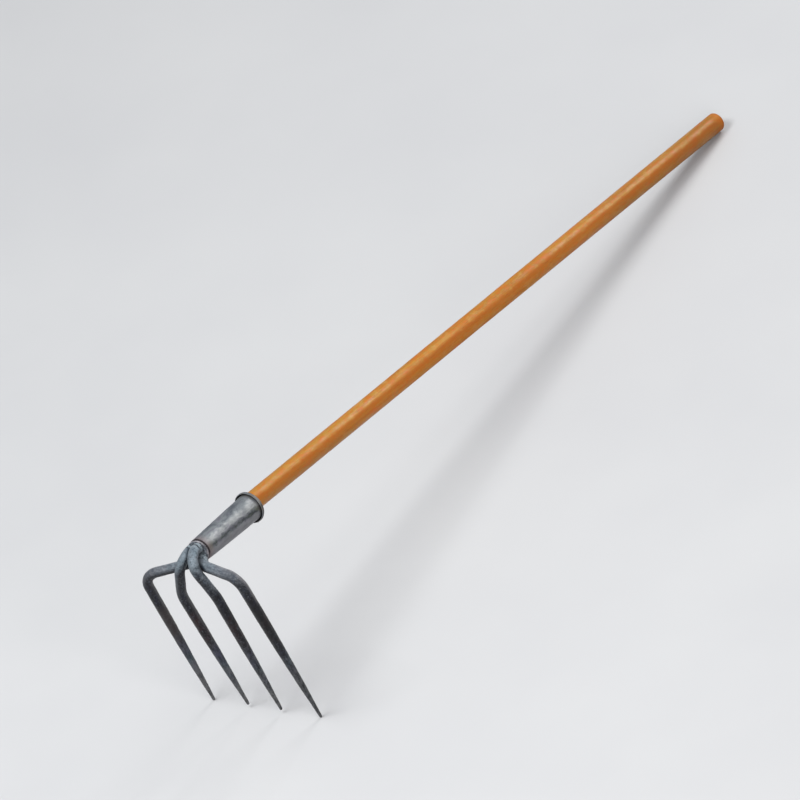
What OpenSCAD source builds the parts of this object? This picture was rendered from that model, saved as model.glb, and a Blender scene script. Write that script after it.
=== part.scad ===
// Four-tine hooked rake: four bent steel rods welded to a tapered tube socket on a wooden handle.
// The head is laid out along the socket: +Y runs up the socket, X across the row of tines.
// It is then turned to lie at rest on its two outer points and the handle's end, on Z = 0.

/* [Handle] */
// Diameter of the wooden shaft
handle_d = 28.5; // [24:0.5:32]
// Length of shaft that shows beyond the socket's mouth
handle_len = 1185; // [700:1:1500]
// Gap between the rods' ends and the whittled end of the handle
handle_gap = 6; // [2:1:20]
// Gap between the whittled end and the socket's wall
handle_fit = 0.3; // [0.1:0.05:0.6]
// Depth whittled off all round inside the socket
handle_whittle = 0.6; // [0.3:0.1:1.5]
// Distance of the whittled shoulder from the socket's mouth
handle_shoulder = 2; // [1:0.5:5]
// Rounding of the free end's rim
butt_round = 3; // [1:0.5:8]
// Sideways set of the shaft in the mouth
shaft_off_x = -2.3; // [-3:0.1:3]
// Upward set of the shaft in the mouth
shaft_off_z = 2.9; // [-3:0.1:3.2]
// Sideways lean of the shaft, in degrees
shaft_lean_x = 0.7; // [-1.5:0.1:1.5]
// Downward lean of the shaft, in degrees
shaft_lean_z = 0.82; // [-1.5:0.01:1.5]

/* [Socket] */
// Length of the socket tube, lip included
socket_len = 130; // [100:1:160]
// Outer diameter at the welded end
socket_end_d = 35; // [34:0.5:40]
// Outer diameter below the lip
socket_mouth_d = 41; // [41:0.5:46]
// Thickness of the tube's wall
socket_wall = 2.2; // [1.6:0.1:2.6]
// Thickness of the rolled lip
lip_wall = 1.6; // [1.2:0.1:2.4]
// Open groove between the lip's free edge and the tube
lip_gap = 1.8; // [1:0.1:3]
// Length of the lip's straight skirt
lip_skirt = 3; // [1:0.5:6]

/* [Fixing screw] */
// Diameter of the screw's shank
screw_d = 4.5; // [3.5:0.1:6]
// Length of the screw under its head
screw_len = 24; // [16:1:26]
// Diameter of the screw's head
screw_head_d = 9; // [7:0.5:12]
// Height of the domed head
screw_head_h = 3; // [2:0.1:4]
// Width of the slot in the head
screw_slot = 1.3; // [1:0.1:2]
// Distance of the screw from the mouth
screw_from_mouth = 42; // [25:1:60]
// Play of the screw in its holes
screw_play = 0.1; // [0.05:0.05:0.3]

/* [Tines] */
// Diameter of the two left rods
rod_d_left = 15; // [13:0.1:16]
// Diameter of the inner right rod
rod_d_inner_right = 15.2; // [13:0.1:16]
// Diameter of the outer right rod
rod_d_outer_right = 16; // [13:0.1:16.6]
// Diameter of each rounded point
tip_d = 4.5; // [3:0.5:8]
// Angle between the tines and the socket, in degrees
rake_angle = 69; // [60:1:85]
// How far the row of tines stands in front of the socket's end
row_set = 38; // [34:0.5:46]
// Reach of the outer tines, from the socket's axis along the tine
outer_reach = 318.5; // [240:0.5:360]
// Reach of the inner tines
inner_reach = 313; // [240:0.5:355]
// How much further forward the inner tines stand
inner_set = 3; // [0:0.5:6]

/* [Welded bundle] */
// Turn of the bundle of rods about the socket's axis, in degrees
bundle_turn = 15; // [10:1:20]
// Distance of each rod from the socket's axis
bundle_r = 9.3; // [8.8:0.1:9.6]
// Depth of the rods inside the socket
bundle_insert = 24; // [15:1:28]
// Gap between neighbouring rods and round the pressed bundle
bundle_gap = 0.2; // [0.1:0.05:0.3]
// Length of the ring of weld in front of the socket
weld_len = 6; // [4:0.5:8]
// Inner radius of the weld, where it fills the furrows between the rods
weld_root = 12; // [11:0.5:13]
// How far the weld stays inside the socket's outline
weld_inset = 0.3; // [0:0.1:0.8]
// How far the weld's crown stands out
weld_bulge = 1.2; // [0.8:0.1:1.6]
// Distance of the rods' first bend in front of the socket's end
root_corner = 1; // [0:0.5:2]
// Radius of the rods' first bend
root_bend = 20; // [15:1:22]
// How far in front of the socket the two inner rods are pressed flat against each other
press_long = 18; // [14:1:18]
// How far in front of the socket all other neighbours are pressed flat
press_short = 8; // [6:0.5:10]

/* [Outer left tine] */
// Neck corner, across
ol_neck_x = -12; // [-16:0.5:-9]
// Neck corner, forward of the socket's end
ol_neck_fwd = 13.5; // [12:0.5:18]
// Neck corner, below the socket's axis
ol_neck_drop = 15.5; // [13:0.5:18]
// Knee, across
ol_knee_x = -92.5; // [-110:0.5:-80]
// Knee, along the tine below the socket's axis
ol_knee_drop = 45; // [35:0.5:60]
// Bend radius at the neck
ol_neck_bend = 14; // [12:0.5:14.5]
// Bend radius at the knee
ol_knee_bend = 33; // [20:1:40]
// Point, across
ol_tip_x = -93.5; // [-110:0.5:-80]

/* [Outer right tine] */
// Neck corner, across
or_neck_x = 12; // [9:0.5:16]
// Neck corner, forward of the socket's end
or_neck_fwd = 16; // [13:0.5:17]
// Neck corner, below the socket's axis
or_neck_drop = 13; // [11:0.5:16]
// Knee, across
or_knee_x = 85; // [75:0.5:105]
// Knee, along the tine below the socket's axis
or_knee_drop = 16; // [8:0.5:35]
// Bend radius at the neck
or_neck_bend = 14; // [12:0.5:14.5]
// Bend radius at the knee
or_knee_bend = 20; // [14:1:40]
// Point, across
or_tip_x = 91.5; // [75:0.5:110]

/* [Inner left tine] */
// Neck corner, across
il_neck_x = -8; // [-12:0.5:-6]
// Neck corner, forward of the socket's end
il_neck_fwd = 39.5; // [38:0.5:46]
// Neck corner, above the socket's axis
il_neck_rise = 7.5; // [5:0.5:12]
// Knee, across
il_knee_x = -36; // [-42:0.5:-28]
// Knee, along the tine below the socket's axis
il_knee_drop = 73; // [66:0.5:90]
// Bend radius at the neck
il_neck_bend = 25; // [18:0.5:27]
// Bend radius at the knee
il_knee_bend = 70; // [40:1:80]
// Point, across
il_tip_x = -29.5; // [-40:0.5:-24]

/* [Inner right tine] */
// Neck corner, across
ir_neck_x = 6.5; // [5:0.5:10]
// Neck corner, forward of the socket's end
ir_neck_fwd = 47; // [45:0.5:52]
// Neck corner, above the socket's axis
ir_neck_rise = 20; // [17:0.5:24]
// Knee, across
ir_knee_x = 28; // [22:0.5:36]
// Knee, along the tine below the socket's axis
ir_knee_drop = 65; // [58:0.5:85]
// Bend radius at the neck
ir_neck_bend = 22; // [16:0.5:24]
// Bend radius at the knee
ir_knee_bend = 60; // [40:1:75]
// Point, across
ir_tip_x = 27.5; // [20:0.5:36]

/* [Hidden] */
$fn = 64;

// Extra length that carries a cut past the face it leaves by
over = 1;
// Steps along a drawn point, along a lip's roll and along the butt's rim
point_steps = 14;
roll_steps = 12;
rim_steps = 6;
// Facets round a rod, round a large turn, round the socket's mouth and round the screw
rod_fn = 48;
turn_fn = 96;
mouth_fn = 128;
screw_fn = 48;
// Length by which joined solids run into each other, and how much thinner a straight rod is than a bend
join = 0.5;
thinner = 0.05;

// Radii and depths that follow from the sizes above
handle_r = handle_d / 2;
handle_insert = socket_len - bundle_insert - handle_gap;
end_r = socket_end_d / 2;
mouth_r = socket_mouth_d / 2;
end_bore_r = end_r - socket_wall;
mouth_bore_r = mouth_r - socket_wall;
press_r = end_bore_r - bundle_gap;
weld_r = end_r - weld_inset;

// Vector helpers
function unit(v) = v / norm(v);
function corner_turn(a, c, b) = acos(unit(c - a) * unit(b - c));
function tangent_len(a, c, b, r) = r * tan(corner_turn(a, c, b) / 2);

// Middle of the lip's roll, and the socket's bore and outside at a distance y from its welded end
lip_roll_r = lip_wall + lip_gap / 2;
lip_y = socket_len - lip_roll_r;
function bore_r(y) = end_bore_r + (mouth_bore_r - end_bore_r) * y / lip_y;
function outer_r(y) = end_r + (mouth_r - end_r) * y / lip_y;

// Direction of the tines, and a point of the tine plane at x across and t along the tine
tine_dir = [0, cos(rake_angle), -sin(rake_angle)];
function on_row(x, t, set = 0) = [x, -row_set - set, 0] + t * tine_dir;

// Root of a rod in the bundle, with its angle about the socket's axis
function root_at(angle, y) = [bundle_r * cos(angle + bundle_turn), y, bundle_r * sin(angle + bundle_turn)];
function rod_path(angle, neck, knee, tip) =
    [root_at(angle, bundle_insert), root_at(angle, -root_corner), neck, knee, tip];

ol_path = rod_path(225, [ol_neck_x, -ol_neck_fwd, -ol_neck_drop],
    on_row(ol_knee_x, ol_knee_drop), on_row(ol_tip_x, outer_reach));
or_path = rod_path(315, [or_neck_x, -or_neck_fwd, -or_neck_drop],
    on_row(or_knee_x, or_knee_drop), on_row(or_tip_x, outer_reach));
il_path = rod_path(135, [il_neck_x, -il_neck_fwd, il_neck_rise],
    on_row(il_knee_x, il_knee_drop, inner_set), on_row(il_tip_x, inner_reach, inner_set));
ir_path = rod_path(45, [ir_neck_x, -ir_neck_fwd, ir_neck_rise],
    on_row(ir_knee_x, ir_knee_drop, inner_set), on_row(ir_tip_x, inner_reach, inner_set));

// Axis of the handle's shaft
shaft_dir = unit([tan(shaft_lean_x), 1, -tan(shaft_lean_z)]);
shaft_mouth = [shaft_off_x, socket_len, shaft_off_z];
butt = shaft_mouth + handle_len * shaft_dir;

// Resting turn about X: the outer points and the butt's rim touch the ground together
tip_ball = on_row(0, outer_reach - tip_d / 2);
rest_rise = butt[2] - tip_ball[2];
rest_run = butt[1] - tip_ball[1];
function rest_turn(height) = acos(height / norm([rest_rise, rest_run])) - atan2(rest_run, rest_rise);
function butt_drop(a) = (handle_r - butt_round) * cos(a) + butt_round * (1 - sin(a));
flat_turn = rest_turn(handle_r - tip_d / 2);
rest_angle = rest_turn(butt_drop(flat_turn + shaft_lean_z) - tip_d / 2);
function rest_z(p) = p[2] * cos(rest_angle) - p[1] * sin(rest_angle);
function rest_y(p) = p[1] * cos(rest_angle) + p[2] * sin(rest_angle);
ground_z = rest_z(tip_ball) - tip_d / 2;
front_y = rest_y([0, -(row_set + inner_set + rod_d_left / 2), 0]);
middle_y = (front_y + rest_y(butt)) / 2;
middle_x = (ol_knee_x + or_knee_x + (rod_d_outer_right - rod_d_left) / 2) / 2;

// Turns the head's layout into the resting pose, centred over the ground
module at_rest() {
    translate([-middle_x, -middle_y, -ground_z])
        rotate([-rest_angle, 0, 0])
            children();
}

// Places local Z along a direction, from a point
module along(from, dir) {
    z = unit(dir);
    side = abs(z[2]) < 0.9 ? [0, 0, 1] : [1, 0, 0];
    x = unit(cross(side, z));
    y = cross(z, x);
    multmatrix([
        [x[0], y[0], z[0], from[0]],
        [x[1], y[1], z[1], from[1]],
        [x[2], y[2], z[2], from[2]],
        [0, 0, 0, 1]
    ])
        children();
}

// Straight stretch of round rod, a hair thinner than the bends at its ends and run into both
module run(a, b, d) {
    start = a - unit(b - a) * join;
    along(start, b - a) cylinder(h = norm(b - a) + 2 * join, d = d - thinner, $fn = rod_fn);
}

// Bend of radius r in a round rod at the corner c between a and b
module bend(a, c, b, r, d) {
    u = unit(c - a);
    w = unit(b - c);
    start = c - u * tangent_len(a, c, b, r);
    axis = unit(cross(u, w));
    out = cross(u, axis);
    hub = start - out * r;
    multmatrix([
        [out[0], u[0], axis[0], hub[0]],
        [out[1], u[1], axis[1], hub[1]],
        [out[2], u[2], axis[2], hub[2]],
        [0, 0, 0, 1]
    ])
        rotate_extrude(angle = corner_turn(a, c, b), $fn = turn_fn)
            translate([r, 0]) circle(d = d, $fn = rod_fn);
}

// Tine's leg, run into the bend above it and drawn out from the full rod to a rounded point
module drawn_leg(a, b, d) {
    length = norm(b - a);
    ball = tip_d / 2;
    full = d - thinner;
    taper = [for (i = [0:point_steps])
        let (s = i / point_steps) [(full - (full - tip_d) * s * s) / 2, s * (length - ball)]];
    cap = [for (i = [1:rim_steps])
        let (q = 90 * i / rim_steps) [i < rim_steps ? ball * cos(q) : 0, length - ball + ball * sin(q)]];
    along(a, b - a)
        rotate_extrude($fn = rod_fn)
            polygon(concat([[0, -join], [full / 2, -join]], taper, cap));
}

// Where the bend at corner i of a rod starts and stops
function bend_start(path, radii, i) = path[i] + unit(path[i - 1] - path[i])
    * tangent_len(path[i - 1], path[i], path[i + 1], radii[i - 1]);
function bend_stop(path, radii, i) = path[i] + unit(path[i + 1] - path[i])
    * tangent_len(path[i - 1], path[i], path[i + 1], radii[i - 1]);

// Root of a rod: from the bundle through its first two bends, pressed to shape
module root(path, radii, d, angle, press, grow = 0) {
    swollen = d + 2 * grow;
    difference() {
        union() {
            run(path[0], bend_start(path, radii, 1), swollen);
            bend(path[0], path[1], path[2], radii[0], swollen);
            run(bend_stop(path, radii, 1), bend_start(path, radii, 2), swollen);
            bend(path[1], path[2], path[3], radii[1], swollen);
        }
        pressed_away(angle, press, grow);
    }
}

// What pressing takes off a root: all beyond the flats towards its neighbours, and all outside the bore
module pressed_away(angle, press, grow) {
    deep = bundle_insert + over;
    wide = 2 * rod_d_outer_right;
    flat = bundle_gap / 2 - grow;
    rotate([0, -angle - bundle_turn + 45, 0]) {
        translate([-wide + flat, -press[0], -wide]) cube([wide, press[0] + deep, 2 * wide]);
        translate([-wide, -press[1], -wide + flat]) cube([2 * wide, press[1] + deep, wide]);
    }
    difference() {
        translate([0, -weld_len, 0])
            rotate([-90, 0, 0]) cylinder(h = weld_len + deep, r = wide);
        translate([0, -weld_len - over, 0])
            rotate([-90, 0, 0]) cylinder(h = weld_len + deep + 2 * over, r = press_r + grow, $fn = turn_fn);
    }
}

// A tine: the pressed root, then the bent rod, drawn out to its point
module tine(path, radii, d, angle, press) {
    root(path, radii, d, angle, press);
    run(bend_stop(path, radii, 2), bend_start(path, radii, 3), d);
    bend(path[2], path[3], path[4], radii[2], d);
    drawn_leg(bend_stop(path, radii, 3), path[4], d);
}

ol_radii = [root_bend, ol_neck_bend, ol_knee_bend];
or_radii = [root_bend, or_neck_bend, or_knee_bend];
il_radii = [root_bend, il_neck_bend, il_knee_bend];
ir_radii = [root_bend, ir_neck_bend, ir_knee_bend];
o_press = [press_short, press_short];
il_press = [press_short, press_long];
ir_press = [press_long, press_short];

module tine_outer_left() {
    color("slategray") tine(ol_path, ol_radii, rod_d_left, 225, o_press);
}

module tine_outer_right() {
    color("slategray") tine(or_path, or_radii, rod_d_outer_right, 315, o_press);
}

module tine_inner_left() {
    color("slategray") tine(il_path, il_radii, rod_d_left, 135, il_press);
}

module tine_inner_right() {
    color("slategray") tine(ir_path, ir_radii, rod_d_inner_right, 45, ir_press);
}

// Tapered tube whose mouth is rolled outwards and back
module socket() {
    lip_x = mouth_r + lip_gap / 2;
    outer_roll = [for (i = [0:roll_steps])
        let (q = 180 - 180 * i / roll_steps)
        [lip_x + lip_roll_r * cos(q), lip_y + lip_roll_r * sin(q)]];
    inner_roll = [for (i = [0:roll_steps])
        let (q = 180 * i / roll_steps)
        [lip_x + lip_gap / 2 * cos(q), lip_y + lip_gap / 2 * sin(q)]];
    outline = concat(
        [[end_bore_r, 0], [mouth_bore_r, lip_y]],
        outer_roll,
        [[lip_x + lip_roll_r, lip_y - lip_skirt], [lip_x + lip_gap / 2, lip_y - lip_skirt]],
        inner_roll,
        [[end_r, 0]]
    );
    color("silver")
        difference() {
            rotate([-90, 0, 0]) rotate_extrude($fn = mouth_fn) polygon(outline);
            screw_hole();
        }
}

// Ring of weld that joins the bundle to the socket's end
module weld_ring() {
    crown = weld_len / 2;
    ridge = [for (i = [0:roll_steps])
        let (q = 90 - 180 * i / roll_steps)
        [weld_r - weld_bulge + weld_bulge * cos(q), -crown + crown * sin(q)]];
    color("lightsteelblue")
        difference() {
            rotate([-90, 0, 0]) rotate_extrude($fn = turn_fn)
                polygon(concat([[weld_root, 0]], ridge, [[weld_root, -weld_len]]));
            pressed_rods(bundle_gap);
        }
}

// The four pressed roots, swollen by a fit
module pressed_rods(grow) {
    root(ol_path, ol_radii, rod_d_left, 225, o_press, grow);
    root(or_path, or_radii, rod_d_outer_right, 315, o_press, grow);
    root(il_path, il_radii, rod_d_left, 135, il_press, grow);
    root(ir_path, ir_radii, rod_d_inner_right, 45, ir_press, grow);
}

// Wooden handle, its inner end cut down to the socket's bore
module handle() {
    color("peru")
        difference() {
            intersection() {
                shaft();
                socket_space(socket_len - handle_insert);
            }
            screw_hole();
        }
}

// Round shaft, whittled below its shoulder, with a rounded rim at its free end
module shaft() {
    length = handle_len + handle_insert + over;
    shoulder = handle_insert + over + handle_shoulder;
    rim = [for (i = [0:rim_steps])
        let (q = 90 * i / rim_steps)
        [handle_r - butt_round + butt_round * cos(q), length - butt_round + butt_round * sin(q)]];
    whittled = [[0, 0], [handle_r - handle_whittle, 0], [handle_r - handle_whittle, shoulder]];
    along(butt - length * shaft_dir, shaft_dir)
        rotate_extrude($fn = turn_fn)
            polygon(concat(whittled, [[handle_r, shoulder]], rim, [[0, length]]));
}

// Space that the handle may fill: the bore less its fit, open beyond the mouth
module socket_space(from) {
    reach = handle_len + butt_round;
    wide = handle_d * 2;
    rotate([-90, 0, 0]) {
        translate([0, 0, from])
            cylinder(h = socket_len - from, r1 = bore_r(from) - handle_fit,
                r2 = bore_r(socket_len) - handle_fit, $fn = turn_fn);
        translate([0, 0, socket_len - join]) cylinder(h = reach + join, r = wide);
    }
}

// Place of the screw along the socket, and the radius on which its head sits
screw_y = socket_len - screw_from_mouth;
screw_seat = outer_r(screw_y + screw_head_d / 2);

// Hole for the screw, from below, through the socket's wall and into the handle
module screw_hole() {
    translate([0, screw_y, -screw_seat - over])
        cylinder(h = screw_len + 2 * over, d = screw_d + 2 * screw_play, $fn = screw_fn);
}

// Domed wood screw that holds the handle in the socket
module fixing_screw() {
    head_r = screw_head_d / 2;
    tip_len = screw_d;
    dome = [for (i = [0:rim_steps])
        let (q = 90 * i / rim_steps) [i < rim_steps ? head_r * cos(q) : 0, -screw_head_h * sin(q)]];
    shank = [[0, screw_len], [screw_d / 8, screw_len], [screw_d / 2, screw_len - tip_len],
        [screw_d / 2, 0]];
    color("gainsboro")
        translate([0, screw_y, -screw_seat])
            difference() {
                rotate_extrude($fn = screw_fn) polygon(concat(shank, dome));
                translate([-screw_slot / 2, -screw_head_d, -screw_head_h - over])
                    cube([screw_slot, 2 * screw_head_d, screw_head_h / 2 + over]);
            }
}

at_rest() handle();
at_rest() socket();
at_rest() weld_ring();
at_rest() fixing_screw();
at_rest() tine_outer_left();
at_rest() tine_inner_left();
at_rest() tine_inner_right();
at_rest() tine_outer_right();
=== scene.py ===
"""Looks of the hooked rake: hammered rods, galvanised socket, weld bead, varnished handle."""

import math

import bmesh
import bpy
from mathutils import Matrix, Vector, noise
from mathutils.bvhtree import BVHTree


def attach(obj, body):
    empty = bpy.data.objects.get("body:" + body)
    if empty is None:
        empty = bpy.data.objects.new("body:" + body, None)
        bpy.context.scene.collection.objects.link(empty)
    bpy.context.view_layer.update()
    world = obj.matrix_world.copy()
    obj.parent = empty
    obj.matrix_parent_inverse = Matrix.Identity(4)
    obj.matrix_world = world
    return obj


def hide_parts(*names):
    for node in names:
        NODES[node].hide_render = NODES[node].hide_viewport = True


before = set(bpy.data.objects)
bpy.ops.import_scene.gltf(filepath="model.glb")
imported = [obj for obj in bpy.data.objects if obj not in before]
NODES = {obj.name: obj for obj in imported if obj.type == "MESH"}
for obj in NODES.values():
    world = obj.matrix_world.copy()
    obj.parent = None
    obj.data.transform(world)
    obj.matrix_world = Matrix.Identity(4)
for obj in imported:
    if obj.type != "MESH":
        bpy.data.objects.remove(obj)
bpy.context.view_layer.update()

MM = 0.001

# The head's layout frame: origin at the middle of the socket's welded end, +Y up the socket.
REST_TURN = math.radians(12.2847)
HEAD_ORIGIN = Vector((0.0035, -0.617152, 0.306763))
HEAD = Matrix.Translation(HEAD_ORIGIN) @ Matrix.Rotation(-REST_TURN, 4, "X")
SOCKET_AXIS = HEAD.to_3x3() @ Vector((0, 1, 0))

# The photograph's right and up directions, in the shared frame.
SCREEN_RIGHT = HEAD.to_3x3() @ Vector((0.81222, 0.55363, -0.18383))
SCREEN_UP = HEAD.to_3x3() @ Vector((-0.12908, 0.47788, 0.86889))

# The socket, in mm: radii at its two ends, wall, length, and the rolled lip at its mouth.
END_R, MOUTH_R, WALL, LENGTH = 17.5, 20.5, 2.2, 130.0
LIP_WALL, LIP_GAP, LIP_SKIRT = 1.6, 1.8, 3.0
ROLL_Y = LENGTH - LIP_WALL - LIP_GAP / 2

# The handle's foot at the socket's mouth, in mm, and the way that it leans, in the head's frame.
HANDLE_FOOT = (-2.3, LENGTH, 2.9)
HANDLE_LEAN = (0.0122157, 0.9998231, -0.0143101)

# Pieces that meet at the weld, and how far from the socket's end they lie close together, in mm.
HEAD_NODES = (
    "weld_ring",
    "tine_outer_left",
    "tine_inner_left",
    "tine_inner_right",
    "tine_outer_right",
)
CREASE_ZONE = 90.0

# The rods' hammered surface: the size and depth of its swells and dents in mm, and their seeds.
HAMMERING = ((26, 0.30, 0), (7, 0.16, 5), (2.5, 0.08, 9))


def socket_r(y):
    """Outer radius of the socket at a height of it, in mm."""
    return END_R + (MOUTH_R - END_R) * y / ROLL_Y


def axis_frame(point, direction):
    """Placement whose local Z runs along a direction of the head's frame, from a point in mm."""
    z = Vector(direction).normalized()
    x = (Vector((1, 0, 0)) - z * z.x).normalized()
    y = z.cross(x)
    turn = Matrix((x, y, z)).transposed().to_4x4()
    return HEAD @ Matrix.Translation(Vector(point) * MM) @ turn


# Camera -----------------------------------------------------------------------------------------


def make_camera():
    """Camera at the photograph's long distance, with the rake where the photograph has it."""
    back = SCREEN_RIGHT.cross(SCREEN_UP).normalized()
    distance = 40.0
    metres_per_pixel = 0.00140
    head_pixel = (199.5, 550.7)
    half = 400
    aim = (
        -back * distance
        + SCREEN_RIGHT * (half - head_pixel[0]) * metres_per_pixel
        + SCREEN_UP * (head_pixel[1] - half) * metres_per_pixel
    )
    z = -aim.normalized()
    x = (SCREEN_RIGHT - z * SCREEN_RIGHT.dot(z)).normalized()
    y = z.cross(x)
    turn = Matrix((x, y, z)).transposed().to_4x4()
    data = bpy.data.cameras.new("camera")
    data.sensor_width = 36
    data.lens = data.sensor_width * distance / (2 * half * metres_per_pixel)
    data.clip_end = 100
    camera = bpy.data.objects.new("camera", data)
    camera.matrix_world = Matrix.Translation(HEAD_ORIGIN + back * distance) @ turn
    bpy.context.scene.collection.objects.link(camera)
    bpy.context.scene.camera = camera


# Node materials ---------------------------------------------------------------------------------

# Mesh attributes: each point's place before the piece was turned into the shared frame, and how
# close it lies to a neighbouring piece of the head, from 0 to 1 where they touch.
OWN_AXES = "own_axes"
CREASE = "crease"

# The Mix node's sockets for colours, and the values that a noise mostly lies between.
MIX_A, MIX_B, MIX_RESULT = 6, 7, 2
NOISE_LOW, NOISE_HIGH = 0.3, 0.7


class Graph:
    """A material with helpers that build its nodes. All places and lengths in it are in metres."""

    def __init__(self, name, own_axes=False):
        self.material = bpy.data.materials.new(name)
        self.material.use_nodes = True
        self.tree = self.material.node_tree
        self.shader = self.tree.nodes["Principled BSDF"]
        if own_axes:
            self.coords = self.node("Attribute", attribute_name=OWN_AXES).outputs["Vector"]
        else:
            self.coords = self.node("TexCoord").outputs["Object"]

    def node(self, kind, values=None, **settings):
        """A new node with its settings, and with values or links on its named inputs."""
        made = self.tree.nodes.new("ShaderNode" + kind)
        for key, value in settings.items():
            setattr(made, key, value)
        for key, value in (values or {}).items():
            self.put(made.inputs[key], value)
        return made

    def put(self, socket, value):
        """Links an output to an input, or sets a value on it."""
        if isinstance(value, bpy.types.NodeSocket):
            self.tree.links.new(value, socket)
        elif isinstance(value, tuple) and len(value) == 3 and socket.type == "RGBA":
            socket.default_value = (*value, 1)
        else:
            socket.default_value = value

    # Places on the surface

    def axis(self, letter):
        """One of the coordinates."""
        return self.node("SeparateXYZ", {"Vector": self.coords}).outputs[letter]

    def vector(self, operation, a, b=None):
        """The number that a vector operation gives."""
        made = self.node("VectorMath", operation=operation)
        self.put(made.inputs[0], a)
        if b is not None:
            self.put(made.inputs[1], b)
        return made.outputs["Value"]

    def dot(self, direction):
        """How far a place lies along a direction."""
        return self.vector("DOT_PRODUCT", self.coords, direction)

    def facing(self, direction):
        """How far the surface faces a direction: 1 straight at it, 0 across it, -1 away."""
        normal = self.node("TexCoord").outputs["Normal"]
        return self.vector("DOT_PRODUCT", normal, direction)

    def attribute(self, name):
        """A number kept on the mesh."""
        return self.node("Attribute", attribute_name=name).outputs["Fac"]

    def stretched(self, scale):
        """The coordinates with each axis scaled, so that less than 1 draws a noise out."""
        return self.node("Mapping", {"Vector": self.coords, "Scale": scale}).outputs[0]

    # Patterns and numbers

    def noise(self, scale, stretch=None, detail=4.0, rough=0.55, distortion=0.0):
        """Noise of a scale, drawn out where a stretch is given."""
        values = {
            "Vector": self.stretched(stretch) if stretch else self.coords,
            "Scale": scale,
            "Detail": detail,
            "Roughness": rough,
            "Distortion": distortion,
        }
        return self.node("TexNoise", values).outputs["Fac"]

    def math(self, operation, a, b=0.0):
        """What a math operation gives for two values."""
        made = self.node("Math", operation=operation)
        self.put(made.inputs[0], a)
        self.put(made.inputs[1], b)
        return made.outputs[0]

    def times(self, first, *others):
        """The product of all the values."""
        for other in others:
            first = self.math("MULTIPLY", first, other)
        return first

    def spread(self, value, low, high, to_low=0.0, to_high=1.0):
        """Runs evenly from one number to another while a value goes from low to high."""
        values = {
            "Value": value,
            "From Min": low,
            "From Max": high,
            "To Min": to_low,
            "To Max": to_high,
        }
        return self.node("MapRange", values).outputs["Result"]

    def window(self, value, start, full, fade, stop):
        """Rises to 1 from start to full, and falls back to 0 from fade to stop."""
        return self.times(self.spread(value, start, full), self.spread(value, stop, fade))

    def follow(self, pattern, to_low, to_high):
        """Follows a noise between two numbers."""
        return self.spread(pattern, NOISE_LOW, NOISE_HIGH, to_low, to_high)

    def warp(self, value, pattern, size):
        """Shifts a value by a noise, up to a size either way."""
        return self.math("ADD", value, self.follow(pattern, -size, size))

    # Colours

    def ramp(self, value, stops):
        """Colours at given places of a value."""
        made = self.node("ValToRGB", {"Fac": value})
        elements = made.color_ramp.elements
        while len(elements) < len(stops):
            elements.new(0.5)
        for element, (place, colour) in zip(elements, stops):
            element.position = place
            element.color = (*colour, 1)
        return made.outputs["Color"]

    def mix(self, factor, a, b, blend="MIX", label=""):
        """Lays colour b over colour a."""
        made = self.node("Mix", data_type="RGBA", blend_type=blend, label=label)
        self.put(made.inputs["Factor"], factor)
        self.put(made.inputs[MIX_A], a)
        self.put(made.inputs[MIX_B], b)
        return made.outputs[MIX_RESULT]

    def layers(self, colour, *layers):
        """Lays layers over a colour in turn: (label, mask, colour laid over[, blend mode])."""
        for label, mask, over, *blend in layers:
            colour = self.mix(mask, colour, over, *blend, label=label)
        return colour

    # Surface

    def bump(self, height, depth, strength=1.0, under=None):
        """A bumpy normal, on top of another one if given."""
        values = {"Height": height, "Distance": depth, "Strength": strength}
        if under is not None:
            values["Normal"] = under
        return self.node("Bump", values).outputs["Normal"]

    def finish(self, **inputs):
        """Puts values or links on the shader's named inputs, and gives the material."""
        for key, value in inputs.items():
            self.put(self.shader.inputs[key.replace("_", " ")], value)
        return self.material


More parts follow.
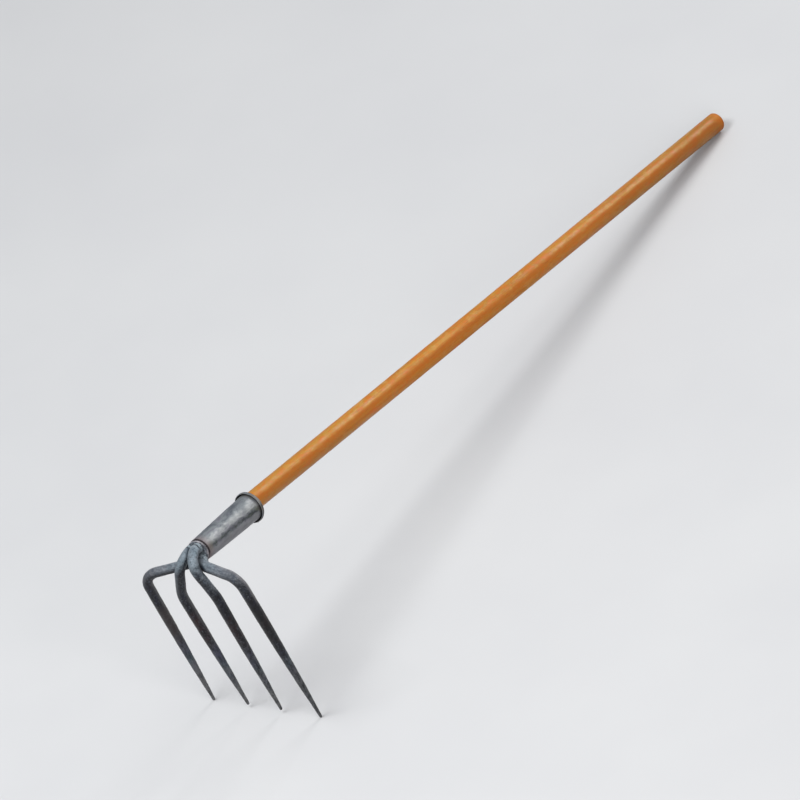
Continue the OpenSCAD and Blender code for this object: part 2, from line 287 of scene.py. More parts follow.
def wood_material():
    """Varnished orange-brown wood: its grain along local Z, red and pale blotches, a worn end,
    painted shade on its shaded side and a painted reflection along that side's edge.

    The shaft runs from 0 at the socket's mouth to 1.185 at its free end.
    """
    g = Graph("varnished_wood", own_axes=True)
    along = g.axis("Z")
    # Runs across the shaft, from its lit upper left edge to its shaded lower right edge.
    towards_shade = g.dot((0.6285, 0.7779, 0.0))
    rings = g.noise(150, (1.0, 1.0, 0.035), detail=3, rough=0.5, distortion=0.6)
    fibres = g.noise(900, (1.0, 1.0, 0.02), detail=5, rough=0.65)
    broad = g.noise(22, (1.0, 1.0, 0.3), detail=3, rough=0.6)
    blots = g.noise(95, (1.0, 1.0, 0.45), detail=3, rough=0.6)
    specks = g.noise(270, (1.0, 1.0, 0.5), detail=3, rough=0.6)
    pores = g.noise(1700, (1.0, 1.0, 0.03), detail=2)
    wear = g.noise(120, (1.0, 1.0, 0.5), detail=3, rough=0.6)
    grain = g.ramp(
        rings,
        [
            (0.30, (0.360, 0.132, 0.005)),
            (0.47, (0.455, 0.190, 0.011)),
            (0.60, (0.505, 0.240, 0.020)),
            (0.78, (0.405, 0.160, 0.007)),
        ],
    )
    # Painted shade: the shaft's shaded lower right side is painted darker and redder.
    ragged = g.warp(towards_shade, blots, 0.0015)
    painted_shade_side = g.times(
        g.spread(ragged, -0.0040, 0.0004, 0.0, 0.75),
        g.spread(ragged, 0.002, 0.011, 1.0, 0.3),
    )
    middle = g.window(along, 0.04, 0.45, 0.82, 0.94)
    # Painted reflection: the outer edge of the shaded side is painted lighter and bluer.
    edge = g.times(g.window(along, 0.20, 0.30, 0.82, 0.94), g.spread(towards_shade, 0.003, 0.009))
    colour = g.layers(
        grain,
        ("dark fibres", g.spread(fibres, 0.62, 0.42, 0.0, 0.35), (0.320, 0.092, 0.003)),
        ("broad red", g.spread(broad, 0.50, 0.70, 0.0, 0.35), (0.500, 0.116, 0.003)),
        ("broad yellow", g.spread(broad, 0.48, 0.32, 0.0, 0.55), (0.450, 0.200, 0.010)),
        ("red blots", g.spread(blots, 0.53, 0.65, 0.0, 0.75), (0.520, 0.122, 0.001)),
        ("pale blots", g.spread(blots, 0.47, 0.35, 0.0, 0.70), (0.500, 0.250, 0.050)),
        ("paler foot", g.spread(along, 0.14, 0.02, 0.0, 0.55), (0.455, 0.198, 0.016)),
        ("red specks", g.spread(specks, 0.52, 0.62, 0.0, 0.55), (0.530, 0.130, 0.001)),
        ("pale specks", g.spread(specks, 0.48, 0.37, 0.0, 0.45), (0.430, 0.215, 0.034)),
        ("painted_shade_side", painted_shade_side, (0.385, 0.092, 0.001)),
        ("pores", g.times(g.spread(pores, 0.36, 0.28), 0.6), (0.160, 0.045, 0.006)),
        ("light middle", middle, (1.08, 1.09, 0.96), "MULTIPLY"),
        ("light edge", edge, (1.17, 1.14, 1.35), "MULTIPLY"),
        ("dull far end", g.spread(along, 1.02, 1.10), (0.90, 0.88, 0.80), "MULTIPLY"),
        ("red far rim", g.spread(along, 1.168, 1.178, 0.0, 0.6), (0.500, 0.128, 0.001)),
        ("cut face", g.spread(along, 1.1826, 1.1836, 0.0, 0.75), (0.400, 0.290, 0.190)),
    )
    held = g.times(g.window(along, 0.30, 0.42, 0.66, 0.78), 0.14)
    worn_end = g.spread(along, 1.162, 1.172, 0.0, 0.20)
    roughness = g.math("ADD", g.spread(wear, 0.35, 0.65, 0.36, 0.56), g.math("ADD", held, worn_end))
    height = g.math("ADD", g.times(fibres, 0.6), g.times(rings, 0.5))
    return g.finish(
        Base_Color=colour,
        Roughness=roughness,
        Specular_IOR_Level=0.35,
        Normal=g.bump(height, 0.00020, 0.5),
        Coat_Weight=0.08,
        Coat_Roughness=0.36,
    )


class TineSteel(Graph):
    """Dull forged steel of the four rods, by places in the shared frame.

    The points stand on the floor at height 0, the knees lie at 0.24 to 0.28 and the weld at 0.31.
    """

    WELD_MIDDLE = (0.0035, -0.625, 0.309)

    def __init__(self):
        super().__init__("forged_steel")
        self.mottle = self.noise(75, detail=6, rough=0.62)
        self.medium = self.noise(230, detail=4, rough=0.62)
        self.fine = self.noise(520, detail=5, rough=0.68)
        self.hue = self.noise(60, detail=3, rough=0.5)
        self.blotch = self.noise(190, (1.0, 1.0, 0.55), detail=3, rough=0.6)
        self.drawn = self.noise(640, (1.0, 0.4, 0.16), detail=4, rough=0.65)
        self.x = self.axis("X")
        self.height = self.axis("Z")
        self.aside = self.math("ABSOLUTE", self.math("SUBTRACT", self.x, HEAD_ORIGIN.x))
        self.from_weld = self.vector("DISTANCE", self.coords, self.WELD_MIDDLE)
        self.rightwards = self.facing(SCREEN_RIGHT)

    def legs(self):
        """Black scale, rusty patches above the middle of the legs, and bare metal at the points,
        painted lighter on the left tines and darker on the right ones as painted light and shade.
        """
        scale = self.ramp(
            self.blotch,
            [
                (0.38, (0.002, 0.002, 0.003)),
                (0.50, (0.008, 0.008, 0.010)),
                (0.58, (0.028, 0.028, 0.032)),
                (0.66, (0.072, 0.072, 0.080)),
            ],
        )
        patches = self.spread(self.noise(40, detail=4, rough=0.6), 0.50, 0.58)
        rusty = self.times(self.window(self.height, 0.13, 0.18, 0.225, 0.265), patches, 0.90)
        rust = self.ramp(self.fine, [(0.3, (0.012, 0.005, 0.004)), (0.7, (0.070, 0.034, 0.026))])
        bare = self.layers(
            self.ramp(self.drawn, [(0.38, (0.056, 0.056, 0.057)), (0.62, (0.260, 0.260, 0.262))]),
            # Painted light and shade: the bare points are painted lighter on the left tines and
            # darker on the right ones.
            ("bright left", self.spread(self.x, 0.06, -0.07, 0.0, 0.6), (0.225, 0.227, 0.230)),
            ("dull right", self.spread(self.x, 0.04, 0.09, 0.0, 0.35), (0.045, 0.048, 0.054)),
            ("stains", self.spread(self.blotch, 0.55, 0.38, 0.0, 0.55), (0.042, 0.042, 0.047)),
        )
        return self.layers(
            scale,
            ("rust", rusty, rust),
            ("bare points", self.spread(self.height, 0.17, 0.03, 0.0, 0.95), bare),
            ("soot", self.spread(self.height, 0.13, 0.18, 0.0, 0.45), (0.004, 0.004, 0.005)),
        )

    def tempered(self, colour):
        """Heat colours in ragged bands up the legs, and the marks of drawing the rods out."""
        ragged = self.warp(self.height, self.mottle, 0.014)
        ragged = self.math("ADD", ragged, self.spread(self.x, 0.03, 0.09, 0.0, -0.035))
        temper = self.ramp(
            self.spread(ragged, 0.0, 0.30),
            [
                (0.16, (0.86, 0.86, 0.86)),
                (0.25, (0.80, 0.82, 0.98)),
                (0.30, (0.68, 0.90, 1.00)),
                (0.36, (0.64, 0.70, 1.00)),
                (0.43, (0.66, 0.64, 1.00)),
                (0.49, (0.80, 0.76, 0.84)),
                (0.56, (1.00, 0.50, 0.58)),
                (0.62, (1.00, 0.56, 0.50)),
                (0.69, (0.62, 0.54, 0.94)),
                (0.78, (0.46, 0.50, 1.00)),
                (0.90, (0.44, 0.64, 1.00)),
            ],
        )
        scratches = self.times(
            self.spread(self.drawn, 0.53, 0.62),
            self.spread(self.height, 0.26, 0.16, 0.25, 0.55),
        )
        furrows = self.spread(self.drawn, 0.46, 0.38, 0.0, 0.5)
        return self.layers(
            colour,
            ("temper", self.spread(self.hue, 0.36, 0.56, 0.5, 1.0), temper, "MULTIPLY"),
            ("scratches", scratches, (0.086, 0.090, 0.108)),
            ("furrows", furrows, (0.008, 0.008, 0.012)),
        )

    def pale_top(self, colour):
        """Pale oxide on the necks and arms by the weld, painted paler where they face up, with dark
        speckles, glints, pits, and dust with painted light on surfaces facing the upper left.
        """
        pale = self.ramp(
            self.mottle,
            [
                (0.30, (0.106, 0.146, 0.176)),
                (0.52, (0.217, 0.265, 0.300)),
                (0.72, (0.338, 0.380, 0.418)),
            ],
        )
        warmer = self.spread(self.from_weld, 0.034, 0.075)
        pale = self.mix(warmer, pale, (1.15, 1.0, 0.98), "MULTIPLY")
        # Painted light: surfaces that face up are painted paler, on top of the pale oxide near the
        # weld.
        lit_upwards = self.warp(self.facing((-0.30, 0.30, 0.90)), self.medium, 0.12)
        reach = self.math(
            "ADD",
            self.spread(self.x, -0.005, 0.012, 0.093, 0.068),
            self.spread(self.aside, 0.036, 0.056, 0.0, 0.034),
        )
        top = self.times(
            self.spread(lit_upwards, -0.46, 0.26),
            self.spread(self.from_weld, 0.046, reach, 1.0, 0.0),
        )
        near = self.spread(self.from_weld, 0.012, 0.030, 0.70, 0.0)
        speckles = self.times(
            self.spread(self.medium, 0.44, 0.34),
            self.spread(self.from_weld, 0.02, 0.10, 0.70, 0.35),
        )
        glints = self.times(
            self.spread(self.fine, 0.56, 0.68),
            self.spread(self.from_weld, 0.02, 0.12, 0.65, 0.34),
        )
        # Dust, and painted light: surfaces facing up and to the left, towards the key lamp, are
        # painted paler.
        dust_and_left_light = self.times(
            self.spread(self.facing((-0.6, 0.0, 0.8)), 0.15, 0.75, 0.0, 0.6),
            self.spread(self.medium, 0.42, 0.56),
        )
        spatter = self.times(
            self.spread(self.medium, 0.48, 0.58),
            self.spread(self.from_weld, 0.016, 0.028, 0.4, 0.0),
        )
        return self.layers(
            colour,
            ("pale oxide", self.math("MAXIMUM", top, near), pale),
            ("speckles", speckles, (0.012, 0.016, 0.026)),
            ("glints", glints, (0.340, 0.360, 0.390)),
            ("pits", self.spread(self.fine, 0.46, 0.34, 0.0, 0.45), (0.003, 0.004, 0.007)),
            ("dust_and_left_light", dust_and_left_light, (0.062, 0.068, 0.084)),
            ("spatter", spatter, (0.300, 0.340, 0.380)),
        )

    def knees(self, colour):
        """The upper legs with painted shade on the right legs and a painted highlight on the left
        legs' right-facing sides, a russet patch, a painted highlight on the outer right knee, and
        the hatched arms.
        """
        upper = self.window(self.height, 0.155, 0.195, 0.252, 0.270)
        # Painted shade: the upper parts of the right legs are painted near black.
        black = self.times(upper, self.spread(self.x, 0.0, 0.07, 0.0, 0.60))
        # Painted highlight: on the left legs, the sides that face right are painted lighter.
        painted_highlight = self.times(
            self.spread(self.rightwards, 0.45, 0.95, 0.0, 0.55),
            self.spread(self.x, 0.02, -0.02),
            upper,
        )
        russet = self.times(
            self.spread(self.x, -0.040, -0.055),
            self.window(self.height, 0.125, 0.150, 0.198, 0.212),
            0.55,
        )
        # Painted highlight: the outer right knee is painted lighter where it faces the back lamp.
        painted_knee_light = self.times(
            self.spread(self.x, 0.036, 0.050),
            self.spread(self.height, 0.242, 0.262),
            self.spread(self.facing((0.48, 0.82, 0.32)), 0.30, 0.85, 0.0, 0.55),
        )
        hatch = self.noise(620, (0.15, 0.5, 1.0), detail=4, rough=0.65)
        arms = self.times(
            self.spread(self.aside, 0.014, 0.026),
            self.spread(self.height, 0.262, 0.282),
        )
        dark_hatch = self.times(self.spread(hatch, 0.47, 0.37, 0.0, 0.65), arms)
        light_hatch = self.times(self.spread(hatch, 0.54, 0.64, 0.0, 0.22), arms)
        return self.layers(
            colour,
            ("black legs", black, (0.003, 0.003, 0.004)),
            ("rubbed legs", painted_highlight, (0.120, 0.118, 0.122)),
            ("russet leg", russet, (0.062, 0.051, 0.050)),
            ("light knee", painted_knee_light, (0.300, 0.290, 0.300)),
            ("dark hatch", dark_hatch, (0.040, 0.046, 0.060)),
            ("light hatch", light_hatch, (0.260, 0.280, 0.310)),
        )

    def weld_zone(self, colour):
        """Painted shade where the rods lie close together, and metal melted onto them by the
        socket.
        """
        up_socket = self.warp(self.dot(SOCKET_AXIS), self.medium, -0.0012)
        below_socket = self.math("SUBTRACT", SOCKET_AXIS.dot(HEAD_ORIGIN), up_socket)
        by_weld = self.spread(self.from_weld, 0.036, 0.032)
        fillet = self.times(self.spread(below_socket, 0.0142, 0.0128), by_weld)
        crease = self.times(self.attribute(CREASE), self.spread(fillet, 0.0, 1.0, 1.0, 0.1))
        shaded = self.times(
            self.spread(self.x, 0.010, 0.014),
            self.spread(self.height, 0.312, 0.308),
            self.times(
                self.spread(self.rightwards, 0.45, 0.90, 0.0, 0.75),
                self.spread(self.from_weld, 0.042, 0.034),
            ),
        )
        melted = self.ramp(
            self.fine,
            [
                (0.34, (0.034, 0.050, 0.062)),
                (0.47, (0.215, 0.262, 0.292)),
                (0.62, (0.390, 0.430, 0.460)),
            ],
        )
        arcs = self.math(
            "MAXIMUM",
            self.window(below_socket, 0.0060, 0.0067, 0.0079, 0.0086),
            self.window(below_socket, 0.0120, 0.0128, 0.0142, 0.0150),
        )
        arcs = self.times(arcs, by_weld, self.spread(self.hue, 0.40, 0.52, 0.35, 0.95))
        return self.layers(
            colour,
            # Painted shade: the closer a neighbouring piece comes, the darker the rod is painted.
            ("painted_shade", self.spread(crease, 0.08, 0.50, 0.0, 0.88), (0.010, 0.020, 0.034)),
            ("deep dirt", self.spread(crease, 0.50, 0.78, 0.0, 0.97), (0.003, 0.007, 0.013)),
            ("shaded root", shaded, (0.028, 0.034, 0.044)),
            ("melted metal", self.times(fillet, 0.80), melted),
            ("arcs of weld", arcs, (0.014, 0.022, 0.032)),
        )


def tine_material():
    """Dull forged steel: pale oxide and painted top light by the weld, near black down the legs,
    grey at the points.
    """
    g = TineSteel()
    colour = g.tempered(g.legs())
    colour = g.knees(g.pale_top(colour))
    colour = g.weld_zone(colour)
    bumps = g.math("ADD", g.times(g.mottle, 0.8), g.times(g.medium, 0.5))
    normal = g.bump(bumps, 0.0009, 0.8)
    normal = g.bump(g.drawn, 0.00018, 0.6, normal)
    return g.finish(
        Base_Color=colour,
        Metallic=0.08,
        Roughness=g.follow(g.mottle, 0.48, 0.62),
        Specular_IOR_Level=0.22,
        Sheen_Weight=0.11,
        Sheen_Roughness=0.50,
        Normal=normal,
    )


class SocketSteel(Graph):
    """Dull galvanised steel of the socket, from 0 at the weld to 0.130 at the mouth."""

    TOWARDS_LENS = (0.778, -0.628, 0.0)
    ACROSS_VIEW = (0.614, 0.789, 0.0)

    def __init__(self):
        super().__init__("galvanised_steel", own_axes=True)
        self.along = self.axis("Z")
        self.clouds = self.noise(60, (1.0, 1.0, 0.5), detail=5, rough=0.62, distortion=0.8)
        self.blots = self.noise(130, (1.0, 1.0, 0.6), detail=4, rough=0.6)
        self.hue = self.noise(85, (1.0, 1.0, 0.6), detail=3, rough=0.55)
        self.front = self.spread(self.dot(self.TOWARDS_LENS), -0.004, 0.004)
        radius = self.spread(self.along, 0.0, LENGTH * MM, END_R * MM, MOUTH_R * MM)
        self.side = self.math("DIVIDE", self.dot(self.ACROSS_VIEW), radius)

    def tube(self):
        """Cloudy zinc, with a painted highlight band, a painted shade streak and painted light
        beyond it, along the side in view.
        """
        zinc = self.ramp(
            self.clouds,
            [
                (0.30, (0.066, 0.075, 0.092)),
                (0.44, (0.132, 0.147, 0.165)),
                (0.58, (0.238, 0.260, 0.270)),
                (0.70, (0.170, 0.162, 0.198)),
            ],
        )
        wavy = self.warp(self.side, self.blots, 0.13)
        middle = self.spread(self.along, 0.0, LENGTH * MM, 0.28, 0.39)
        streak = self.math("SUBTRACT", wavy, middle)
        bend = self.times(self.window(self.along, 0.040, 0.062, 0.074, 0.090), 0.08)
        streak = self.math("ADD", streak, bend)
        widening = self.spread(self.along, 0.072, 0.100, 0.0, 0.10)
        widened = self.math("SUBTRACT", streak, widening)
        # Painted highlight: a lighter band along the side facing the lens, where the lamp's
        # reflection falls.
        bright = self.times(
            self.spread(wavy, -0.52, -0.22),
            self.spread(streak, -0.04, -0.22),
            self.front,
            0.92,
        )
        painted_highlight = self.ramp(
            self.blots,
            [
                (0.34, (0.262, 0.275, 0.282)),
                (0.50, (0.365, 0.376, 0.378)),
                (0.66, (0.462, 0.472, 0.470)),
            ],
        )
        # Painted shade: a dark streak beside the band, on the side facing the lens.
        dark = self.times(
            self.spread(streak, -0.22, 0.0),
            self.spread(widened, 0.26, 0.06),
            self.front,
            self.spread(self.clouds, 0.62, 0.38, 0.80, 1.0),
        )
        shade = self.ramp(
            self.blots,
            [
                (0.40, (0.044, 0.052, 0.044)),
                (0.60, (0.048, 0.051, 0.062)),
            ],
        )
        olive = self.times(
            self.spread(self.hue, 0.54, 0.64, 0.0, 0.6),
            self.spread(streak, -0.45, -0.10),
            self.front,
        )
        # Painted light: the tube is painted lighter beyond the streak, towards its lower edge.
        lit_far_side = self.times(self.spread(streak, 0.18, 0.34, 0.0, 0.7), self.front)
        runs = self.noise(420, (1.0, 1.0, 0.08), detail=4, rough=0.65)
        return self.layers(
            zinc,
            ("rubbed band", bright, painted_highlight),
            ("dark streak", dark, shade),
            ("olive", olive, (0.185, 0.195, 0.150)),
            ("lilac", self.spread(self.hue, 0.47, 0.36, 0.0, 0.45), (0.240, 0.228, 0.275)),
            ("far side", lit_far_side, (0.240, 0.236, 0.248)),
            ("runs", self.spread(runs, 0.52, 0.74, 0.0, 0.35), (0.085, 0.090, 0.100)),
        )

    def ends(self, colour):
        """Heat tint and a painted shadow line at the weld, and the lip with a painted shade line
        and the painted shade of its groove.
        """
        tint = self.ramp(self.blots, [(0.35, (0.120, 0.094, 0.098)), (0.65, (0.270, 0.205, 0.208))])
        # Painted shadow: a dark line in the undercut where the tube meets the weld.
        weld_seam_shadow = self.times(
            self.spread(self.along, 0.0027, 0.0017, 0.0, 0.95),
            self.spread(self.side, 0.80, 0.55),
        )
        rim = self.ramp(self.hue, [(0.42, (0.125, 0.142, 0.165)), (0.58, (0.175, 0.150, 0.128))])
        # Painted shade: a thin dark line along the roll of the lip, on the right side.
        lip_shade_line = self.times(
            self.window(self.along, 0.1256, 0.1261, 0.1270, 0.1275),
            self.spread(self.side, 0.10, 0.50, 0.0, 0.85),
        )
        from_axis = self.vector("LENGTH", self.stretched((1.0, 1.0, 0.0)))
        # Painted shade inside the groove under the lip.
        groove = self.times(
            self.window(from_axis, 0.0202, 0.0206, 0.0226, 0.0230),
            self.window(self.along, 0.1240, 0.1246, 0.1284, 0.1290),
            0.92,
        )
        return self.layers(
            colour,
            ("heat tint", self.spread(self.along, 0.015, 0.001, 0.0, 0.75), tint),
            ("weld line", weld_seam_shadow, (0.018, 0.013, 0.015)),
            ("rim", self.spread(self.along, 0.1195, 0.1240, 0.0, 0.60), rim),
            ("lip line", lip_shade_line, (0.045, 0.038, 0.036)),
            ("groove", groove, (0.010, 0.011, 0.014)),
        )


def socket_material():
    """Dull galvanised steel with runs, a painted highlight band and painted shade streak on the
    side in view, and a heat tint at the weld.
    """
    g = SocketSteel()
    bumps = g.math("ADD", g.clouds, g.times(g.blots, 0.5))
    normal = g.bump(bumps, 0.0009, 0.55)
    normal = g.bump(g.noise(900, detail=3, rough=0.6), 0.00008, 0.6, normal)
    return g.finish(
        Base_Color=g.ends(g.tube()),
        Metallic=0.60,
        Roughness=g.follow(g.clouds, 0.64, 0.54),
        Normal=normal,
    )


def weld_material():
    """Weld bead: two ridges round it with a painted lilac highlight, painted shade in the grooves
    between them, dark flux specks, and painted shade where it meets the rods.
    """
    g = Graph("weld_metal", own_axes=True)
    clouds = g.noise(190, detail=4, rough=0.6)
    fine = g.noise(900, detail=5, rough=0.65)
    along = g.warp(g.axis("Y"), clouds, 0.0008)
    metal = g.ramp(
        clouds,
        [
            (0.30, (0.080, 0.092, 0.112)),
            (0.50, (0.160, 0.180, 0.205)),
            (0.70, (0.260, 0.270, 0.300)),
        ],
    )
    # Painted highlight on the two ridges, and painted shade in the grooves beside them.
    ridges = g.math(
        "MAXIMUM",
        g.window(along, -0.0018, -0.0013, -0.0007, -0.0002),
        g.window(along, -0.0040, -0.0035, -0.0030, -0.0026),
    )
    grooves = g.math(
        "MAXIMUM",
        g.window(along, -0.0028, -0.0024, -0.0020, -0.0017),
        g.window(along, -0.0052, -0.0046, -0.0042, -0.0038),
    )
    # The crease layer is painted shade where the bead meets the rods.
    colour = g.layers(
        metal,
        ("ridges", g.times(ridges, 0.80), (0.400, 0.365, 0.380)),
        ("grooves", g.times(grooves, 0.9), (0.016, 0.018, 0.026)),
        ("flux", g.spread(fine, 0.47, 0.36, 0.0, 0.7), (0.020, 0.022, 0.032)),
        ("painted_shade", g.spread(g.attribute(CREASE), 0.78, 0.97), (0.006, 0.009, 0.015)),
    )
    return g.finish(
        Base_Color=colour,
        Metallic=0.35,
        Roughness=g.follow(fine, 0.42, 0.60),
        Normal=g.bump(fine, 0.0004, 0.8),
    )


def screw_material():
    """Zinc-plated screw, dulled in patches."""
    g = Graph("zinc_plate")
    clouds = g.noise(420, detail=5, rough=0.6)
    return g.finish(
        Base_Color=g.ramp(clouds, [(0.35, (0.24, 0.23, 0.21)), (0.62, (0.50, 0.49, 0.46))]),
        Metallic=0.9,
        Roughness=g.follow(clouds, 0.48, 0.30),
        Normal=g.bump(clouds, 0.0001, 0.6),
    )


def floor_material():
    """Plain pale studio floor. Diffuse rays see it darker, so that the undersides stay dark."""
    g = Graph("studio_floor")
    soft = g.noise(2.5, detail=3)
    pale = g.ramp(soft, [(0.3, (0.60, 0.60, 0.605)), (0.7, (0.63, 0.63, 0.63))])
    ray = g.node("LightPath").outputs
    seen = g.math("MAXIMUM", ray["Is Camera Ray"], ray["Is Glossy Ray"])
    seen = g.math("MAXIMUM", seen, ray["Is Transmission Ray"])
    return g.finish(Base_Color=g.mix(seen, (0.20, 0.20, 0.20), pale), Roughness=0.75)


# Shapes -----------------------------------------------------------------------------------------


def steps(start, stop, spacing):
    """Even steps from start to stop, both included, about a spacing apart."""
    count = max(1, round(abs(stop - start) / spacing))
    return [start + (stop - start) * i / count for i in range(count + 1)]


def uneven(point, size_mm, depth_mm, seed):
    """Smooth seeded unevenness at a point in metres: features of one size, up to a depth in mm."""
    place = Vector(point) / (size_mm * MM) + Vector((seed, 1.7 * seed, -seed))
    return noise.noise(place) * depth_mm * MM


def sunk(push, highest_mm, sink_mm):
    """Cuts off what stands out too far, and moves the surface in, to stay inside the CAD box."""
    return min(push, highest_mm * MM) - sink_mm * MM


def keep_own_axes(mesh, places):
    """Keeps each point's own place for the material."""
    own = mesh.attributes.new(OWN_AXES, "FLOAT_VECTOR", "POINT")
    own.data.foreach_set("vector", [part for place in places for part in place])


def new_piece(name, mesh, material):
    """A smooth-shaded object in the scene."""
    mesh.materials.clear()
    mesh.materials.append(material)
    for polygon in mesh.polygons:
        polygon.use_smooth = True
    piece = bpy.data.objects.new(name, mesh)
    bpy.context.scene.collection.objects.link(piece)
    return piece


def lathe(name, outline, material, placement, swell, segments, closed=False):
    """Turns an outline of (radius, height) in mm about Z, each point moved out by its swell."""
    mesh = bpy.data.meshes.new(name)
    work = bmesh.new()
    rings = []
    for radius, height in outline:
        if radius == 0:
            rings.append([work.verts.new((0, 0, height * MM))])
            continue
        ring = []
        for i in range(segments):
            turn = 2 * math.pi * i / segments
            c, s = math.cos(turn), math.sin(turn)
            r = radius * MM + swell(c * radius * MM, s * radius * MM, height * MM)
            ring.append(work.verts.new((c * r, s * r, height * MM)))
        rings.append(ring)
    pairs = list(zip(rings, rings[1:]))
    if closed:
        pairs.append((rings[-1], rings[0]))
    for low, high in pairs:
        for i in range(segments):
            j = (i + 1) % segments
            if len(low) == 1:
                work.faces.new((low[0], high[j], high[i]))
            elif len(high) == 1:
                work.faces.new((low[i], low[j], high[0]))
            else:
                work.faces.new((low[i], low[j], high[j], high[i]))
    bmesh.ops.recalc_face_normals(work, faces=work.faces)
    work.to_mesh(mesh)
    work.free()
    keep_own_axes(mesh, [vertex.co for vertex in mesh.vertices])
    mesh.transform(placement)
    return new_piece(name, mesh, material)


def remeshed(node_name, name, voxel_mm, smooth_rounds):
    """A node's own shape as a fine even mesh, its hard edges softened."""
    piece = bpy.data.objects.new(name, NODES[node_name].data.copy())
    bpy.context.scene.collection.objects.link(piece)
    voxels = piece.modifiers.new("voxels", "REMESH")
    voxels.mode = "VOXEL"
    voxels.voxel_size = voxel_mm * MM
    soften = piece.modifiers.new("soften", "SMOOTH")
    soften.factor = 0.5
    soften.iterations = smooth_rounds
    bpy.context.view_layer.update()
    graph = bpy.context.evaluated_depsgraph_get()
    mesh = bpy.data.meshes.new_from_object(piece.evaluated_get(graph))
    bpy.data.objects.remove(piece)
    return mesh


def mark_creases(mesh, node_name, reach_mm):
    """Keeps on each point how close the head's other pieces come, for the painted shade between
    them.
    """
    others = []
    for other in HEAD_NODES:
        if other != node_name:
            cad = NODES[other]
            points = [cad.matrix_world @ vertex.co for vertex in cad.data.vertices]
            faces = [polygon.vertices[:] for polygon in cad.data.polygons]
            others.append(BVHTree.FromPolygons(points, faces))
    reach = reach_mm * MM
    crease = mesh.attributes.new(CREASE, "FLOAT", "POINT")
    for i, vertex in enumerate(mesh.vertices):
        if (vertex.co - HEAD_ORIGIN).length > CREASE_ZONE * MM:
            continue
        gaps = [tree.find_nearest(vertex.co, reach)[3] for tree in others]
        near = min([gap for gap in gaps if gap is not None], default=reach)
        crease.data[i].value = 1 - near / reach


def make_tine(node_name, name, material, seed, shade_reach):
    """Rod with a hammered surface: long shallow swells and small dents."""
    mesh = remeshed(node_name, name, voxel_mm=0.8, smooth_rounds=3)
    mark_creases(mesh, node_name, shade_reach)
    normals = [vertex.normal.copy() for vertex in mesh.vertices]
    for vertex, normal in zip(mesh.vertices, normals):
        p = vertex.co.copy()
        dent = sum(uneven(p, size, depth, seed + extra) for size, depth, extra in HAMMERING)
        vertex.co = p + normal * sunk(dent, highest_mm=0.09, sink_mm=0.10)
    piece = new_piece(name, mesh, material)
    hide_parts(node_name)
    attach(piece, "root")


def make_socket(material):
    """Tapered tube, its mouth rolled outwards and back over an open groove."""
    gap_r, edge, calm_zone = LIP_GAP / 2, 0.45, 8
    roll = LIP_WALL + gap_r
    lip_x = MOUTH_R + gap_r
    turns = [math.radians(q) for q in steps(0, 180, 12)]
    inside = [(socket_r(y) - WALL, y) for y in steps(edge, ROLL_Y, 3.0)]
    over = [(lip_x - roll * math.cos(q), ROLL_Y + roll * math.sin(q)) for q in turns[1:]]
    free_edge = [
        (lip_x + roll, ROLL_Y - LIP_SKIRT + edge),
        (lip_x + roll - edge, ROLL_Y - LIP_SKIRT),
        (lip_x + gap_r + edge, ROLL_Y - LIP_SKIRT),
        (lip_x + gap_r, ROLL_Y - LIP_SKIRT + edge),
    ]
    under = [(lip_x + gap_r * math.cos(q), ROLL_Y + gap_r * math.sin(q)) for q in turns]
    outside = [(socket_r(y), y) for y in steps(ROLL_Y, edge, 1.5)[1:]]
    end = [(END_R - edge, 0.0), (END_R - WALL + edge, 0.0)]
    outline = inside + over + free_edge + under + outside + end

    def swell(x, y, z):
        """Dents along the tube, which die out towards the lip, and a wavy lip."""
        calm = min(1.0, max(0.0, (ROLL_Y * MM - z) / (calm_zone * MM)))
        wave = uneven((x, y, z * 0.5), 16, 0.42, 3.0) + uneven((x, y, z), 6, 0.10, 8.0)
        rim = uneven((x, y, z), 12, 0.22, 14.0) * (1 - calm)
        return sunk(wave * calm + rim, highest_mm=0.15, sink_mm=0.10)

    placement = axis_frame((0, 0, 0), (0, 1, 0))
    piece = lathe("socket_tube", outline, material, placement, swell, segments=160, closed=True)
    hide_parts("socket")
    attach(piece, "root")


def make_handle(material):
    """Round wooden shaft, a little uneven, whittled in the socket, with a worn rounded end."""
    radius, length, rim, spacing = 14.25, 1185.0, 3.0, 9.0
    below, whittled, tip_r, tip_length = 99.0, 13.65, 12.15, 4
    shoulder, shoulder_r, bevel, fit = 2.0, 14.05, 0.4, 0.45
    corner = [
        (radius - rim + rim * math.cos(q), length - rim + rim * math.sin(q))
        for q in [math.radians(a) for a in steps(0, 90, 10)]
    ]
    face = [(radius - rim - inset, length) for inset in (0.4, 4.0, 8.0)]
    outline = (
        [(0.0, -below), (tip_r, -below), (whittled, -below + tip_length)]
        + [(whittled, y) for y in steps(-below + spacing, shoulder - bevel, spacing)]
        + [(shoulder_r, shoulder), (radius, shoulder + bevel)]
        + [(radius, y) for y in steps(shoulder + spacing, length - rim - 1, spacing)]
        + corner
        + face
        + [(0.0, length)]
    )

    def swell(x, y, z):
        """Shallow waves, drawn out along the shaft."""
        wave = uneven((x, y, z * 0.12), 22, 0.16, 2.0) + uneven((x, y, z * 0.3), 7, 0.07, 6.0)
        return sunk(wave, highest_mm=0.05, sink_mm=0.06)

    placement = axis_frame(HANDLE_FOOT, HANDLE_LEAN)
    piece = lathe("handle_shaft", outline, material, placement, swell, segments=96)
    inverse = HEAD.inverted()
    for vertex in piece.data.vertices:
        p = inverse @ vertex.co
        reach = math.hypot(p.x, p.z)
        bore = (socket_r(p.y / MM) - WALL - fit) * MM
        if p.y < LENGTH * MM and reach > bore:
            vertex.co = HEAD @ Vector((p.x * bore / reach, p.y, p.z * bore / reach))
    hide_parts("handle")
    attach(piece, "root")


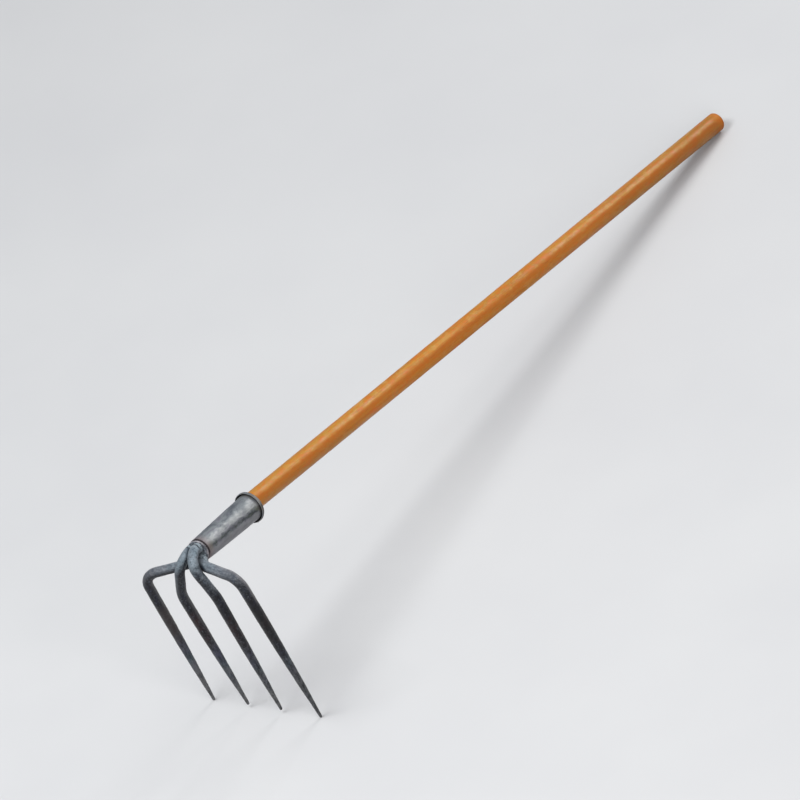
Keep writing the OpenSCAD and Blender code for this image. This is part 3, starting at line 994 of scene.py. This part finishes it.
def make_weld(material):
    """Ring of weld with the ripples of its passes and two grooves round it."""
    mesh = remeshed("weld_ring", "weld_bead", voxel_mm=0.35, smooth_rounds=4)
    inverse = HEAD.inverted()
    inner_radius, shade_reach, highest, sink = 15.0, 6.0, 0.2, 0.45
    passes, lean, ripple_height = 34, 0.35, 0.42
    grooves, groove_width, groove_depth, wander = (-2.1, -4.3), 0.5, 0.8, 0.3
    for vertex in mesh.vertices:
        p = inverse @ vertex.co
        radius = math.hypot(p.x, p.z)
        if radius < inner_radius * MM:
            continue
        turn = math.atan2(p.z, p.x)
        ripple = abs(math.sin(passes / 2 * turn + lean * p.y / MM))
        shifted = p.y / MM + wander * math.sin(3 * turn)
        groove = sum(math.exp(-(((shifted - place) / groove_width) ** 2)) for place in grooves)
        push = (ripple_height * ripple - sink - groove_depth * groove) * MM
        push += uneven(p, 5, 0.45, 4.0) + uneven(p, 1.6, 0.15, 7.0)
        push = min(push, highest * MM)
        out = Vector((p.x, 0, p.z)) / radius
        vertex.co = HEAD @ (p + out * push)
    mark_creases(mesh, "weld_ring", shade_reach)
    keep_own_axes(mesh, [inverse @ vertex.co for vertex in mesh.vertices])
    piece = new_piece("weld_bead", mesh, material)
    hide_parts("weld_ring")
    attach(piece, "root")


def dress_node(node_name, material):
    """Gives a CAD node its material."""
    data = NODES[node_name].data
    data.materials.clear()
    data.materials.append(material)


# Studio -----------------------------------------------------------------------------------------


def make_floor():
    """Wide floor under the rake."""
    half = 30.0
    mesh = bpy.data.meshes.new("floor")
    corners = [(-half, -half, 0), (half, -half, 0), (half, half, 0), (-half, half, 0)]
    mesh.from_pydata(corners, [], [(0, 1, 2, 3)])
    mesh.materials.append(floor_material())
    floor = bpy.data.objects.new("floor", mesh)
    bpy.context.scene.collection.objects.link(floor)


def area_light(name, place, size, watts, colour=(1, 1, 1)):
    """Rectangular lamp turned towards the rake."""
    target = Vector((0.0, -0.1, 0.15))
    data = bpy.data.lights.new(name, "AREA")
    data.shape = "RECTANGLE"
    data.size, data.size_y = size
    data.energy = watts
    data.color = colour
    lamp = bpy.data.objects.new(name, data)
    lamp.location = place
    lamp.rotation_euler = (target - Vector(place)).to_track_quat("-Z", "Y").to_euler()
    bpy.context.scene.collection.objects.link(lamp)


def make_lights():
    """Soft key from above, a fill from the right, a light from behind, and a pale sky."""
    area_light("key", (-0.4, -1.7, 3.4), size=(1.4, 1.4), watts=82, colour=(0.97, 0.99, 1.0))
    area_light("fill", (3.2, -2.2, 1.8), size=(2.0, 2.0), watts=57, colour=(1.0, 0.97, 0.96))
    area_light("back", (0.55, 3.4, 2.4), size=(1.9, 1.6), watts=60)
    world = bpy.data.worlds.new("studio")
    world.use_nodes = True
    sky = world.node_tree.nodes["Background"]
    sky.inputs["Color"].default_value = (0.80, 0.82, 0.86, 1)
    sky.inputs["Strength"].default_value = 0.55
    bpy.context.scene.world = world


make_camera()
make_handle(wood_material())
make_socket(socket_material())
make_weld(weld_material())
steel = tine_material()
make_tine("tine_outer_left", "rod_outer_left", steel, seed=1.0, shade_reach=9.0)
make_tine("tine_inner_left", "rod_inner_left", steel, seed=2.0, shade_reach=8.0)
make_tine("tine_inner_right", "rod_inner_right", steel, seed=3.0, shade_reach=6.5)
make_tine("tine_outer_right", "rod_outer_right", steel, seed=4.0, shade_reach=7.0)
dress_node("fixing_screw", screw_material())
make_floor()
make_lights()
bpy.context.scene.view_settings.view_transform = "Standard"
